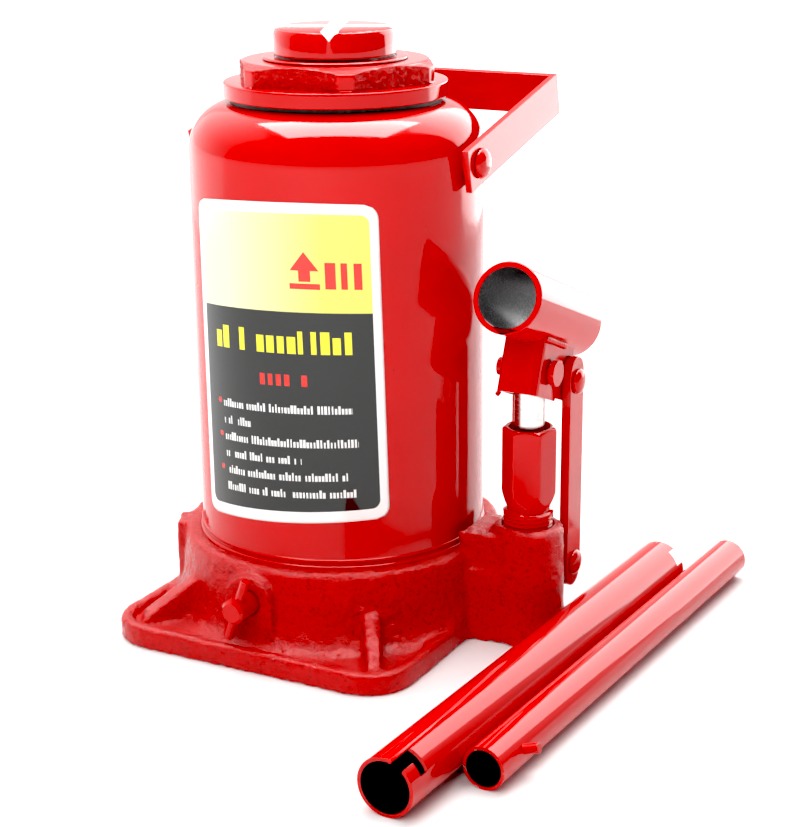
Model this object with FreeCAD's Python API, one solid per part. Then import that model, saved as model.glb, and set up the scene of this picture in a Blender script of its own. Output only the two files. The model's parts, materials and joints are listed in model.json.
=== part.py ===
import FreeCAD, Part
import math
import os
from FreeCAD import Vector

# Hydraulic bottle jack, closed, with its two-piece pump handle lying beside it.
# Millimetres. Origin: centre of the ram on the underside of the base. +Z up,
# -Y is the front (release valve, label, mouth of the handle socket), +X the pump side.

# ---- driving dimensions -------------------------------------------------------------
# base casting
PLATE_X = 66.3            # half width of the foot
PLATE_FRONT = -83.4
PLATE_BACK = 71.0
PLATE_CORNER = 19.3
RIM_TOP = 8.9
POCKET_FLOOR = 5.6
RIM_WIDTH = 5.0
COLLAR_R_BOTTOM = 69.0
COLLAR_R_TOP = 66.6
COLLAR_TOP = 37.0
SEAT_FLOOR = 30.0         # inside floor that the tank stands on
SEAT_R = 59.4
CYLINDER_SEAT = 14.0      # floor under the hydraulic cylinder

# tank
TANK_R = 59.0
TANK_WALL = 2.2
SHOULDER_R = 18.5
TANK_TOP = 213.4
TANK_MOUTH_R = 40.9
BEAD_Z = 38.4
BEAD_R = 1.1

# hydraulic cylinder, ram and extension screw
CYL_R = 36.0
CYL_BORE = 30.0
CYL_TOP = 205.0
RAM_R = 24.0
RAM_TOP = 230.5
RAM_BOTTOM = 20.0
PISTON_R = 29.95
PISTON_HEIGHT = 12.0
RAM_THREAD_R = 17.05
RAM_RELIEF_R = 19.0
RAM_SHOULDER = 167.0
SCREW_R = 17.0
SCREW_BOTTOM = 100.0
SADDLE_R = 24.3
SADDLE_BOTTOM = 231.2
SADDLE_TOP = 242.0
SADDLE_GROOVE_ANGLE = 24.2

# top nut
NUT_SKIRT_BOTTOM = 188.0
NUT_SKIRT_R = 40.5
FLANGE_R = 44.5
FLANGE_Z0 = 215.2
FLANGE_Z1 = 221.2
HEX_TOP = 229.6
HEX_FLATS = 73.6
HEX_TURNED_R = 41.0
HEX_CORNER_ANGLE = -55.0
WIPER_R = 28.9
WIPER_TOP = 230.7

# pump
PUMP_X = 85.5
BOSS_R = 14.4
BOSS_TOP = 49.0
NECK_R = 10.2
PUMP_HEX_R = 11.0         # across corners / 2
PUMP_HEX_Z0 = 58.5
PUMP_TOP = 89.5
PUMP_HEX_CORNER = -42.7
PLUNGER_R = 6.1
PIN_Z = 112.5             # pivot of the handle socket on the plunger
PIN_R = 3.6

# handle socket, tilted with its mouth up
SOCKET_TILT = 21.3
SOCKET_R = 14.1
SOCKET_BORE = 11.6
SOCKET_LENGTH = 66.0
SOCKET_FORE = 33.5        # mouth ahead of the pivot, along the tube
SOCKET_RISE = 23.4        # tube axis above the pivot
YOKE_HALF = 8.6
YOKE_SHEET = 2.3
YOKE_FRONT = 12.0
YOKE_DROP = 10.5

# fulcrum link
LINK_Y = 18.0
LINK_TOP_Z = 104.7
LINK_FOOT_Z = 27.5
LINK_WIDTH = 13.6
LINK_SHEET = 3.8
LINK_OVERHANG = 10.0
LINK_GAP = 0.3            # between yoke or lug and each bar
RIVET_R = 2.8
OPEN_PIVOT_R = 4.8        # hole in the yoke round the upper rivet
OPEN_PIVOT_SHIFT = (1.2, -0.6)

# release valve
VALVE_X = -4.0
VALVE_Z = 23.5
VALVE_LUG_FACE = -71.0
VALVE_LUG_R = 11.0
VALVE_SHANK_R = 5.0
VALVE_END = -83.0
TEE_LENGTH = 27.0
TEE_R = 1.9
TEE_LEAN = 19.6

# carry handle
BAIL_Z = 192.4
BAIL_INSIDE = 61.0        # half distance between the two arms
BAIL_SHEET = 2.6
BAIL_WIDTH = 17.0
BAIL_REACH = 77.5
BAIL_TAIL = 9.8
BAIL_TILT = 13.1

# two-piece pump handle, lying on the floor
TUBE_HEADING = 3.3        # degrees from +Y towards +X
LARGE_START = (104.4, -158.4)
LARGE_R = 11.0
LARGE_BORE = 9.4
LARGE_LENGTH = 227.4
SMALL_START = (125.7, -126.8)
SMALL_R = 8.1
SMALL_BORE = 6.6
SMALL_LENGTH = 224.8
PEG_R = 1.9
PEG_ANGLE = 17.7
PEG_FROM_END = 16.0

# label
LABEL_ANGLES = (-124.6, -43.6)
LABEL_Z = (53.0, 180.5)

Z_AXIS = Vector(0, 0, 1)


# ---- helpers ------------------------------------------------------------------------
def box(x0, x1, y0, y1, z0, z1):
    return Part.makeBox(x1 - x0, y1 - y0, z1 - z0, Vector(x0, y0, z0))


def rod(radius, start, end):
    """Cylinder between two points."""
    a = Vector(*start)
    b = Vector(*end)
    return Part.makeCylinder(radius, (b - a).Length, a, b - a)


def turned(profile, x=0.0, y=0.0):
    """Solid of revolution about the vertical through (x, y); profile is (radius, z)."""
    points = [Vector(x + r, y, z) for r, z in profile]
    wire = Part.makePolygon(points + [points[0]])
    return Part.Face(wire).revolve(Vector(x, y, 0), Z_AXIS, 360)


def tube(outer, inner, z0, z1, x=0.0, y=0.0):
    return turned([(inner, z0), (outer, z0), (outer, z1), (inner, z1)], x, y)


def prism(points, height, z0):
    """Vertical prism on a plan outline of (x, y) points."""
    corners = [Vector(px, py, z0) for px, py in points]
    return Part.Face(Part.makePolygon(corners + [corners[0]])).extrude(Vector(0, 0, height))


def hexagon(corner_radius, z0, z1, corner_angle, x=0.0, y=0.0):
    points = []
    for step in range(6):
        angle = math.radians(corner_angle + 60 * step)
        points.append((x + corner_radius * math.cos(angle), y + corner_radius * math.sin(angle)))
    return prism(points, z1 - z0, z0)


def rounded_plate(x0, x1, y0, y1, radius, z0, z1):
    plate = box(x0, x1, y0, y1, z0, z1)
    corners = [e for e in plate.Edges if abs(e.tangentAt(e.FirstParameter).z) > 0.99]
    return plate.makeFillet(radius, corners)


def ball(radius, centre):
    return Part.makeSphere(radius, Vector(*centre))


def turn(shape, centre, axis, degrees):
    shape.rotate(Vector(*centre), Vector(*axis), degrees)
    return shape


def fused(first, *others):
    return first.multiFuse(list(others)).removeSplitter()


def put_out(name, *solids):
    """Write one node, made of one or more separate solids."""
    shape = solids[0] if len(solids) == 1 else Part.makeCompound(list(solids))
    for solid in shape.Solids:
        if not solid.isValid():
            print("invalid solid in", name)
    shape.exportStep(os.path.join("parts", name + ".step"))
    volume = sum(solid.Volume for solid in shape.Solids)
    print("%-24s %2d solid(s) %10.1f mm3" % (name, len(shape.Solids), volume))


# ---- base casting -------------------------------------------------------------------
def foot_plate():
    plate = rounded_plate(-PLATE_X, PLATE_X, PLATE_FRONT, PLATE_BACK, PLATE_CORNER, 0, RIM_TOP)
    inset = RIM_WIDTH
    pocket = rounded_plate(-PLATE_X + inset, PLATE_X - inset, PLATE_FRONT + inset, PLATE_BACK - inset,
                           PLATE_CORNER - inset, POCKET_FLOOR, RIM_TOP + 1)
    return plate.cut(pocket)


def front_gusset():
    """Rib that falls from the collar straight out to the front left corner of the foot."""
    outline = [(-57.6, -66.6), (-52.0, -74.6), (-28.0, -48.6), (-33.5, -43.0)]
    block = prism(outline, 30, POCKET_FLOOR - 1)
    top = Part.makeBox(200, 200, 60, Vector(-100, -100, 0))
    top.rotate(Vector(0, 0, 0), Vector(1, 0, 0), 33)
    top.rotate(Vector(0, 0, 0), Z_AXIS, -43)
    top.translate(Vector(-54.8, -70.6, RIM_TOP - 0.3))
    return block.cut(top)


def collar_cove():
    """Cast fillet between the collar and the floor of the pocket."""
    ring = turned([(60, POCKET_FLOOR - 1), (75.5, POCKET_FLOOR - 1), (75.5, POCKET_FLOOR + 0.2),
                   (71.8, POCKET_FLOOR + 2.4), (69.6, POCKET_FLOOR + 6), (68.5, POCKET_FLOOR + 9.5),
                   (60, POCKET_FLOOR + 9.5)])
    return ring.common(rounded_plate(-PLATE_X, PLATE_X, PLATE_FRONT, PLATE_BACK, PLATE_CORNER,
                                     0, 30))


def front_rib():
    """Narrow rib on the right of the front pocket."""
    foot = prism([(35, -48), (41, -44), (57.5, -74), (52.5, -76.5)], 24, POCKET_FLOOR)
    cut = Part.makeBox(200, 200, 60, Vector(-100, -100, 0))
    cut.rotate(Vector(0, 0, 0), Vector(1, 0, 0), 26)
    cut.rotate(Vector(0, 0, 0), Z_AXIS, 30)
    cut.translate(Vector(55, -75, RIM_TOP + 0.6))
    return foot.cut(cut)


def valve_lug():
    """Arched boss that the release valve screws into."""
    back = -50.0
    arch = rod(VALVE_LUG_R, (VALVE_X, VALVE_LUG_FACE, VALVE_Z), (VALVE_X, back, VALVE_Z))
    post = box(VALVE_X - VALVE_LUG_R, VALVE_X + VALVE_LUG_R, VALVE_LUG_FACE, back,
               POCKET_FLOOR - 1, VALVE_Z)
    return fused(arch, post)


def pump_boss():
    """Upright boss for the pump, its web to the collar and the lug of the link."""
    shaft = turned([(0, 0), (BOSS_R + 0.8, 0), (BOSS_R, BOSS_TOP - 2), (BOSS_R - 2, BOSS_TOP),
                    (0, BOSS_TOP)], PUMP_X)
    web = prism([(50, -16), (68, -15.4), (84, -14.4), (84, 14.4), (68, 15.4), (50, 16)], 30.5, 0)
    slope = prism([(60, -13), (84, -13), (84, 13), (60, 13)], BOSS_TOP - 30.5 - 4, 30.5)
    lug = fused(box(PUMP_X - YOKE_HALF, PUMP_X + YOKE_HALF, 0, LINK_Y, 12, LINK_FOOT_Z + 8),
                rod(8, (PUMP_X - YOKE_HALF, LINK_Y, LINK_FOOT_Z),
                    (PUMP_X + YOKE_HALF, LINK_Y, LINK_FOOT_Z)))
    boss = fused(shaft, web, slope, lug)
    for side in (-1, 1):
        near = PUMP_X + side * YOKE_HALF
        far = PUMP_X + side * (YOKE_HALF + 8)
        boss = boss.cut(box(min(near, far), max(near, far), 8.8, 34, 12, 60))
    return boss


def base_casting():
    collar = turned([(0, 1), (COLLAR_R_BOTTOM, 1), (COLLAR_R_BOTTOM, POCKET_FLOOR),
                     (COLLAR_R_TOP, COLLAR_TOP - 1.5), (COLLAR_R_TOP - 1.5, COLLAR_TOP),
                     (SEAT_R, COLLAR_TOP), (SEAT_R, SEAT_FLOOR), (CYL_R + 0.2, SEAT_FLOOR),
                     (CYL_R + 0.2, CYLINDER_SEAT), (0, CYLINDER_SEAT)])
    pad = turn(box(64, 70.2, -7, 7, POCKET_FLOOR - 1, COLLAR_TOP - 0.5), (0, 0, 0), (0, 0, 1), 205)
    body = fused(foot_plate(), collar, collar_cove(), pad, front_gusset(), front_rib(), valve_lug(),
                 pump_boss())
    seat = turned([(0, CYLINDER_SEAT), (CYL_R + 0.2, CYLINDER_SEAT), (CYL_R + 0.2, SEAT_FLOOR),
                   (SEAT_R, SEAT_FLOOR), (SEAT_R, COLLAR_TOP), (SEAT_R + 2.6, COLLAR_TOP),
                   (SEAT_R + 2.6, 60), (0, 60)])
    pump_bore = fused(rod(NECK_R + 0.1, (PUMP_X, 0, 30), (PUMP_X, 0, BOSS_TOP + 1)),
                      rod(5.0, (PUMP_X, 0, 20), (PUMP_X, 0, 30)))
    feed = rod(2.2, (PUMP_X - 3, 0, 23), (CYL_R - 2, 0, 23))
    valve_bore = fused(rod(VALVE_SHANK_R + 0.05, (VALVE_X, VALVE_LUG_FACE - 1, VALVE_Z),
                           (VALVE_X, -47, VALVE_Z)),
                       rod(3.3, (VALVE_X, -48, VALVE_Z), (VALVE_X, -41, VALVE_Z)),
                       rod(2.0, (VALVE_X, -42, VALVE_Z), (VALVE_X, -33, VALVE_Z)))
    overload_bore = rod(4.05, (0, 80, 20), (0, 50, 20))
    link_bore = rod(RIVET_R + 0.05, (PUMP_X - 20, LINK_Y, LINK_FOOT_Z),
                    (PUMP_X + 20, LINK_Y, LINK_FOOT_Z))
    return body.cut(seat.multiFuse([pump_bore, feed, valve_bore, overload_bore, link_bore]))


# ---- tank, cylinder and top nut -----------------------------------------------------
def tank_profile(radius, top, shoulder, mouth, bottom):
    """Half section of the tank's outside or inside: wall, quarter-round shoulder, top."""
    centre = Vector(radius - shoulder, 0, top - shoulder)
    middle = centre + Vector(shoulder * math.cos(math.pi / 4), 0, shoulder * math.sin(math.pi / 4))
    wall_top = Vector(radius, 0, top - shoulder)
    crown = Vector(radius - shoulder, 0, top)
    edges = [Part.LineSegment(Vector(mouth, 0, bottom), Vector(radius, 0, bottom)).toShape(),
             Part.LineSegment(Vector(radius, 0, bottom), wall_top).toShape(),
             Part.Arc(wall_top, middle, crown).toShape()]
    if radius - shoulder > mouth:
        edges.append(Part.LineSegment(crown, Vector(mouth, 0, top)).toShape())
        edges.append(Part.LineSegment(Vector(mouth, 0, top), Vector(mouth, 0, bottom)).toShape())
    else:
        edges.append(Part.LineSegment(crown, Vector(radius - shoulder, 0, bottom)).toShape())
        edges[0] = Part.LineSegment(Vector(radius - shoulder, 0, bottom),
                                    Vector(radius, 0, bottom)).toShape()
    face = Part.Face(Part.Wire(edges))
    return face.revolve(Vector(0, 0, 0), Z_AXIS, 360)


def reservoir_tank():
    outside = tank_profile(TANK_R, TANK_TOP, SHOULDER_R, 20.0, SEAT_FLOOR + 1.5)
    inside = tank_profile(TANK_R - TANK_WALL, TANK_TOP - TANK_WALL, SHOULDER_R - TANK_WALL, 10.0,
                          SEAT_FLOOR)
    core = rod(21, (0, 0, SEAT_FLOOR), (0, 0, TANK_TOP - TANK_WALL))
    shell = outside.cut(inside).cut(core)
    shell = shell.cut(rod(TANK_MOUTH_R, (0, 0, TANK_TOP - 20), (0, 0, TANK_TOP + 10)))
    bead = Part.makeTorus(TANK_R + 0.2, BEAD_R, Vector(0, 0, BEAD_Z), Z_AXIS)
    shell = fused(shell, bead.cut(rod(TANK_R - TANK_WALL / 2, (0, 0, 30), (0, 0, 50))))
    return shell.cut(rod(4.5, (0, 50, 182), (0, 70, 182)))


def top_nut():
    skirt = turned([(0, NUT_SKIRT_BOTTOM), (NUT_SKIRT_R, NUT_SKIRT_BOTTOM),
                    (NUT_SKIRT_R, FLANGE_Z0), (FLANGE_R, FLANGE_Z0), (FLANGE_R, FLANGE_Z1 - 0.8),
                    (FLANGE_R - 0.8, FLANGE_Z1), (0, FLANGE_Z1)])
    grip = hexagon(HEX_FLATS / math.sqrt(3), FLANGE_Z1 - 0.5, HEX_TOP, HEX_CORNER_ANGLE)
    chamfer = turned([(0, FLANGE_Z1 - 1), (HEX_TURNED_R, FLANGE_Z1 - 1), (HEX_TURNED_R, HEX_TOP - 2.2),
                      (HEX_FLATS / 2 - 0.4, HEX_TOP), (0, HEX_TOP)])
    nut = fused(skirt, grip.common(chamfer))
    bores = [rod(CYL_R + 0.05, (0, 0, NUT_SKIRT_BOTTOM - 1), (0, 0, CYL_TOP)),
             rod(RAM_R + 0.06, (0, 0, CYL_TOP - 1), (0, 0, HEX_TOP + 5)),
             tube(RAM_R + 2.2, RAM_R - 1, 210, 212.6),
             rod(WIPER_R - 1.5, (0, 0, HEX_TOP - 3), (0, 0, HEX_TOP + 5))]
    for bore in bores:
        nut = nut.cut(bore)
    return nut


def saddle():
    """Grooved load head on top of the extension screw."""
    head = turned([(0, SADDLE_BOTTOM), (SADDLE_R - 0.6, SADDLE_BOTTOM), (SADDLE_R, SADDLE_BOTTOM + 0.6),
                   (SADDLE_R, SADDLE_TOP - 2.4), (SADDLE_R - 0.7, SADDLE_TOP - 0.7),
                   (SADDLE_R - 2.4, SADDLE_TOP), (0, SADDLE_TOP)])
    for quarter in (0, 90):
        vee = Part.Face(Part.makePolygon([Vector(-30, -3.4, SADDLE_TOP + 0.5),
                                          Vector(-30, 3.4, SADDLE_TOP + 0.5),
                                          Vector(-30, 0, SADDLE_TOP - 3.2),
                                          Vector(-30, -3.4, SADDLE_TOP + 0.5)]))
        groove = vee.extrude(Vector(60, 0, 0))
        head = head.cut(turn(groove, (0, 0, 0), (0, 0, 1), SADDLE_GROOVE_ANGLE + quarter))
    return head.cut(rod(9.0, (0, 0, SADDLE_BOTTOM - 1), (0, 0, SADDLE_BOTTOM + 4)))


def make_ram_column():
    put_out("hydraulic_cylinder", tube(CYL_R, CYL_BORE, CYLINDER_SEAT + 1.5, CYL_TOP))
    put_out("ram", tube(RAM_R, RAM_RELIEF_R, RAM_BOTTOM + PISTON_HEIGHT, RAM_TOP).fuse(
        tube(RAM_RELIEF_R + 1, RAM_THREAD_R, RAM_SHOULDER, RAM_TOP)).removeSplitter())
    cup_z = RAM_BOTTOM
    piston = turned([(0, cup_z), (18, cup_z), (18, cup_z + 5), (PISTON_R, cup_z + 5),
                     (PISTON_R, cup_z + PISTON_HEIGHT), (0, cup_z + PISTON_HEIGHT)])
    put_out("ram_piston", piston)
    put_out("piston_cup_seal", turned([(18.05, cup_z + 1.5), (28.5, cup_z), (PISTON_R, cup_z),
                                       (PISTON_R, cup_z + 4.95), (18.05, cup_z + 4.95)]))
    put_out("screw_stop_ring", tube(RAM_RELIEF_R - 0.1, SCREW_R - 1.6, SCREW_BOTTOM + 4,
                                    SCREW_BOTTOM + 6.4))
    put_out("extension_screw", turned([(0, SCREW_BOTTOM), (SCREW_R - 1, SCREW_BOTTOM),
                                       (SCREW_R, SCREW_BOTTOM + 1), (SCREW_R, SCREW_BOTTOM + 3.95),
                                       (SCREW_R - 1.7, SCREW_BOTTOM + 3.95),
                                       (SCREW_R - 1.7, SCREW_BOTTOM + 6.45),
                                       (SCREW_R, SCREW_BOTTOM + 6.45),
                                       (SCREW_R, SADDLE_BOTTOM), (8.95, SADDLE_BOTTOM),
                                       (8.95, SADDLE_BOTTOM + 3.9), (0, SADDLE_BOTTOM + 3.9)]))
    put_out("saddle", saddle())


def make_shell():
    put_out("base_casting", base_casting())
    put_out("reservoir_tank", reservoir_tank())
    put_out("top_nut", top_nut())
    put_out("tank_top_gasket", tube(42.0, NUT_SKIRT_R + 0.1, TANK_TOP + 0.05, FLANGE_Z0 - 0.05))
    put_out("tank_bottom_gasket", tube(TANK_R + 0.2, TANK_R - 4, SEAT_FLOOR, SEAT_FLOOR + 1.45))
    put_out("cylinder_gasket", tube(CYL_R, CYL_BORE, CYLINDER_SEAT, CYLINDER_SEAT + 1.45))
    put_out("ram_o_ring", Part.makeTorus(RAM_R + 1.15, 0.95, Vector(0, 0, 211.3), Z_AXIS))
    put_out("wiper_ring", turned([(RAM_R + 0.1, HEX_TOP - 2.9), (WIPER_R - 1.6, HEX_TOP - 2.9),
                                  (WIPER_R - 1.6, HEX_TOP + 0.05), (WIPER_R - 0.5, HEX_TOP + 0.05),
                                  (WIPER_R, HEX_TOP + 0.5), (WIPER_R, WIPER_TOP - 0.6),
                                  (WIPER_R - 0.6, WIPER_TOP), (RAM_R + 0.1, WIPER_TOP)]))
    plug = fused(rod(4.45, (0, 52, 182), (0, 60, 182)), rod(7.0, (0, TANK_R + 0.3, 182), (0, 62.4, 182)),
                 rod(5.6, (0, 52, 182), (0, 54.5, 182)))
    put_out("filler_plug", plug)
    overload = rod(4.0, (0, 67.6, 20), (0, 56, 20)).cut(
        turn(hexagon(2.3, 0, 5, 0), (0, 0, 0), (1, 0, 0), -90).translated(Vector(0, 64, 20)))
    put_out("overload_valve_screw", overload)
    put_out("overload_valve_spring", spring(2.6, 0.45, 5, (0, 55.6, 20), 4.6, "y"))
    start, end = LABEL_ANGLES
    sheet = Part.Face(Part.makePolygon([Vector(TANK_R + 0.03, 0, LABEL_Z[0]),
                                        Vector(TANK_R + 0.25, 0, LABEL_Z[0]),
                                        Vector(TANK_R + 0.25, 0, LABEL_Z[1]),
                                        Vector(TANK_R + 0.03, 0, LABEL_Z[1]),
                                        Vector(TANK_R + 0.03, 0, LABEL_Z[0])]))
    label = sheet.revolve(Vector(0, 0, 0), Z_AXIS, end - start)
    put_out("label_plate", turn(label, (0, 0, 0), (0, 0, 1), start))


def spring(radius, wire, turns, start, length, along):
    """Small coil spring, as a stack of rings joined by its own pitch."""
    helix = Part.makeHelix(length / turns, length, radius)
    section = Part.Wire([Part.makeCircle(wire, Vector(radius, 0, 0), Vector(0, 1, 0))])
    coil = Part.Wire(helix).makePipeShell([section], True, True)
    if along == "y":
        coil.rotate(Vector(0, 0, 0), Vector(1, 0, 0), 90)
    coil.translate(Vector(*start))
    return coil


# ---- pump ---------------------------------------------------------------------------
def pump_cylinder():
    hexed = hexagon(PUMP_HEX_R, PUMP_HEX_Z0 - 6, PUMP_TOP, PUMP_HEX_CORNER, PUMP_X)
    taper = turned([(0, PUMP_HEX_Z0 - 6), (7.8, PUMP_HEX_Z0 - 6), (PUMP_HEX_R, PUMP_HEX_Z0 + 5),
                    (PUMP_HEX_R, PUMP_TOP - 1.6), (PUMP_HEX_R - 1.9, PUMP_TOP), (0, PUMP_TOP)], PUMP_X)
    neck = turned([(0, 30.5), (NECK_R - 1, 30.5), (NECK_R, 32), (NECK_R, 53.4), (NECK_R - 1.4, 54.6),
                   (0, 54.6)], PUMP_X)
    body = fused(hexed.common(taper), neck)
    body = body.cut(rod(PLUNGER_R + 0.08, (PUMP_X, 0, 34), (PUMP_X, 0, 100)))
    body = body.cut(rod(8.2, (PUMP_X, 0, PUMP_TOP - 12), (PUMP_X, 0, 100)))
    return body.cut(rod(2.5, (PUMP_X, 0, 29), (PUMP_X, 0, 40)))


def plunger():
    shaft = turned([(0, 44), (PLUNGER_R - 0.6, 44), (PLUNGER_R, 44.6), (PLUNGER_R, PIN_Z + 4.5),
                    (PLUNGER_R - 1.2, PIN_Z + 6), (0, PIN_Z + 6)], PUMP_X)
    return shaft.cut(rod(PIN_R + 0.02, (PUMP_X - 10, 0, PIN_Z), (PUMP_X + 10, 0, PIN_Z)))


def make_pump():
    put_out("pump_cylinder", pump_cylinder())
    put_out("pump_packing", tube(8.15, PLUNGER_R + 0.05, PUMP_TOP - 12, PUMP_TOP - 8, PUMP_X))
    put_out("pump_gland_ring", tube(8.15, PLUNGER_R + 0.25, PUMP_TOP - 7.95, PUMP_TOP - 4.5, PUMP_X))
    put_out("pump_base_washer", tube(NECK_R - 0.3, 5.2, 30.02, 30.45, PUMP_X))
    put_out("pump_plunger", plunger())
    put_out("check_balls", ball(3.0, (PUMP_X, 0, 23.1)), ball(2.1, (50, 0, 23)))
    put_out("check_spring", spring(3.2, 0.4, 3, (PUMP_X, 0, 26.6), 2.6, "z"))


def pivot_pin():
    """Clevis pin of the handle socket: shank, head on the outside, hole for the split pin."""
    left = PUMP_X - YOKE_HALF - 4.5
    shank = rod(PIN_R, (left, 0, PIN_Z), (PUMP_X + YOKE_HALF + 1.6, 0, PIN_Z))
    head = rod(5.2, (PUMP_X + YOKE_HALF + 1.2, 0, PIN_Z), (PUMP_X + YOKE_HALF + 3.5, 0, PIN_Z))
    pin = fused(shank, head)
    return pin.cut(rod(1.1, (left + 2, 0, PIN_Z - 6), (left + 2, 0, PIN_Z + 6)))


def split_pin():
    """Cotter pin through the end of the clevis pin: an eye above and a bent tail below."""
    x = PUMP_X - YOKE_HALF - 2.5
    leg = rod(0.95, (x, 0, PIN_Z + 4.5), (x, 0, PIN_Z - 8))
    eye = Part.makeTorus(2.6, 0.95, Vector(x, 0, PIN_Z + 6.6), Vector(1, 0, 0))
    tail = rod(0.95, (x, 0, PIN_Z - 7.6), (x - 1.0, -4.5, PIN_Z - 10.5))
    return fused(leg, eye, tail)


def place_on_socket(shape):
    """Turn a shape, modelled about the pivot with its tube level, to the socket's tilt."""
    shape.rotate(Vector(0, 0, 0), Vector(1, 0, 0), -SOCKET_TILT)
    shape.translate(Vector(PUMP_X, 0, PIN_Z))
    return shape


def socket_tube():
    """Rolled tube, mouth towards -Y, whose edges meet in a shallow vee at the bottom."""
    back = SOCKET_LENGTH - SOCKET_FORE
    outer = rod(SOCKET_R, (0, -SOCKET_FORE, SOCKET_RISE), (0, back, SOCKET_RISE))
    bore = rod(SOCKET_BORE, (0, -SOCKET_FORE - 1, SOCKET_RISE), (0, back + 1, SOCKET_RISE))
    vee = Part.Face(Part.makePolygon([Vector(-4.2, -SOCKET_FORE - 1, SOCKET_RISE - 10.5),
                                      Vector(0, -SOCKET_FORE - 1, SOCKET_RISE - 13.4),
                                      Vector(4.2, -SOCKET_FORE - 1, SOCKET_RISE - 10.5),
                                      Vector(-4.2, -SOCKET_FORE - 1, SOCKET_RISE - 10.5)]))
    return place_on_socket(outer.cut(bore).cut(vee.extrude(Vector(0, SOCKET_LENGTH + 2, 0))))


def socket_yoke():
    """Channel under the tube that straddles the plunger and reaches back to the link."""
    top = SOCKET_RISE - 8.0
    channel = box(-YOKE_HALF, YOKE_HALF, -YOKE_FRONT, 20, -YOKE_DROP, top)
    edges = [e for e in channel.Edges
             if abs(e.tangentAt(e.FirstParameter).z) > 0.99 and e.CenterOfMass.y < 0]
    channel = channel.makeFillet(3.6, edges)
    inner = YOKE_HALF - YOKE_SHEET
    hollow = box(-inner, inner, -YOKE_FRONT + YOKE_SHEET, 60, -60, 60)
    hollow_edges = [e for e in hollow.Edges
                    if abs(e.tangentAt(e.FirstParameter).z) > 0.99 and e.CenterOfMass.y < 0]
    hollow = hollow.makeFillet(1.4, hollow_edges)
    centre_y, centre_z = open_pivot_centre()
    lobe = rod(8.4, (-YOKE_HALF, centre_y, centre_z), (YOKE_HALF, centre_y, centre_z))
    neck = box(-YOKE_HALF, YOKE_HALF, 8, centre_y, centre_z - 8.4, top)
    trim = box(-30, 30, 9, 60, -60, centre_z - 8.4)
    body = fused(channel.cut(trim), lobe, neck).cut(hollow)
    body = body.cut(rod(SOCKET_R + 0.02, (0, -60, SOCKET_RISE), (0, 60, SOCKET_RISE)))
    body = body.cut(box(-30, 30, -60, 60, SOCKET_RISE, 60))
    body = body.cut(rod(PIN_R + 0.05, (-30, 0, 0), (30, 0, 0)))
    body = body.cut(rod(OPEN_PIVOT_R, (-30, centre_y, centre_z), (30, centre_y, centre_z)))
    return place_on_socket(body)


def open_pivot_centre():
    """The hole round the upper link rivet, in the socket's own level frame."""
    dy = LINK_Y + OPEN_PIVOT_SHIFT[0]
    dz = LINK_TOP_Z + OPEN_PIVOT_SHIFT[1] - PIN_Z
    tilt = math.radians(SOCKET_TILT)
    return dy * math.cos(tilt) - dz * math.sin(tilt), dy * math.sin(tilt) + dz * math.cos(tilt)


def link_bar(side):
    near = PUMP_X + side * (YOKE_HALF + LINK_GAP)
    far = near + side * LINK_SHEET
    x0, x1 = min(near, far), max(near, far)
    half = LINK_WIDTH / 2
    rise = LINK_OVERHANG - half
    bar = fused(box(x0, x1, LINK_Y - half, LINK_Y + half, LINK_FOOT_Z - rise, LINK_TOP_Z + rise),
                rod(half, (x0, LINK_Y, LINK_FOOT_Z - rise), (x1, LINK_Y, LINK_FOOT_Z - rise)),
                rod(half, (x0, LINK_Y, LINK_TOP_Z + rise), (x1, LINK_Y, LINK_TOP_Z + rise)))
    for z in (LINK_FOOT_Z, LINK_TOP_Z):
        bar = bar.cut(rod(RIVET_R + 0.02, (x0 - 1, LINK_Y, z), (x1 + 1, LINK_Y, z)))
    return bar


def link_rivet(z):
    reach = YOKE_HALF + LINK_GAP + LINK_SHEET
    shank = rod(RIVET_R, (PUMP_X - reach - 0.5, LINK_Y, z), (PUMP_X + reach + 0.5, LINK_Y, z))
    heads = []
    for side in (-1, 1):
        dome = turned([(0, 0), (5.2, 0), (5.1, 1.0), (4.2, 1.9), (2.6, 2.5), (0, 2.7)])
        dome.rotate(Vector(0, 0, 0), Vector(0, 1, 0), 90 * side)
        dome.translate(Vector(PUMP_X + side * (reach + 0.02), LINK_Y, z))
        heads.append(dome)
    return fused(shank, *heads)


def make_lever():
    put_out("plunger_pin", pivot_pin())
    put_out("plunger_pin_washer", turn(tube(5.4, PIN_R + 0.03, 0, 1.2), (0, 0, 0), (0, 1, 0), 90)
            .translated(Vector(PUMP_X - YOKE_HALF - 1.45, 0, PIN_Z)))
    put_out("plunger_split_pin", split_pin())
    put_out("handle_socket_tube", socket_tube())
    put_out("handle_socket_yoke", socket_yoke())
    put_out("link_bars", link_bar(-1), link_bar(1))
    put_out("link_upper_rivet", link_rivet(LINK_TOP_Z))
    put_out("link_lower_rivet", link_rivet(LINK_FOOT_Z))


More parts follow.
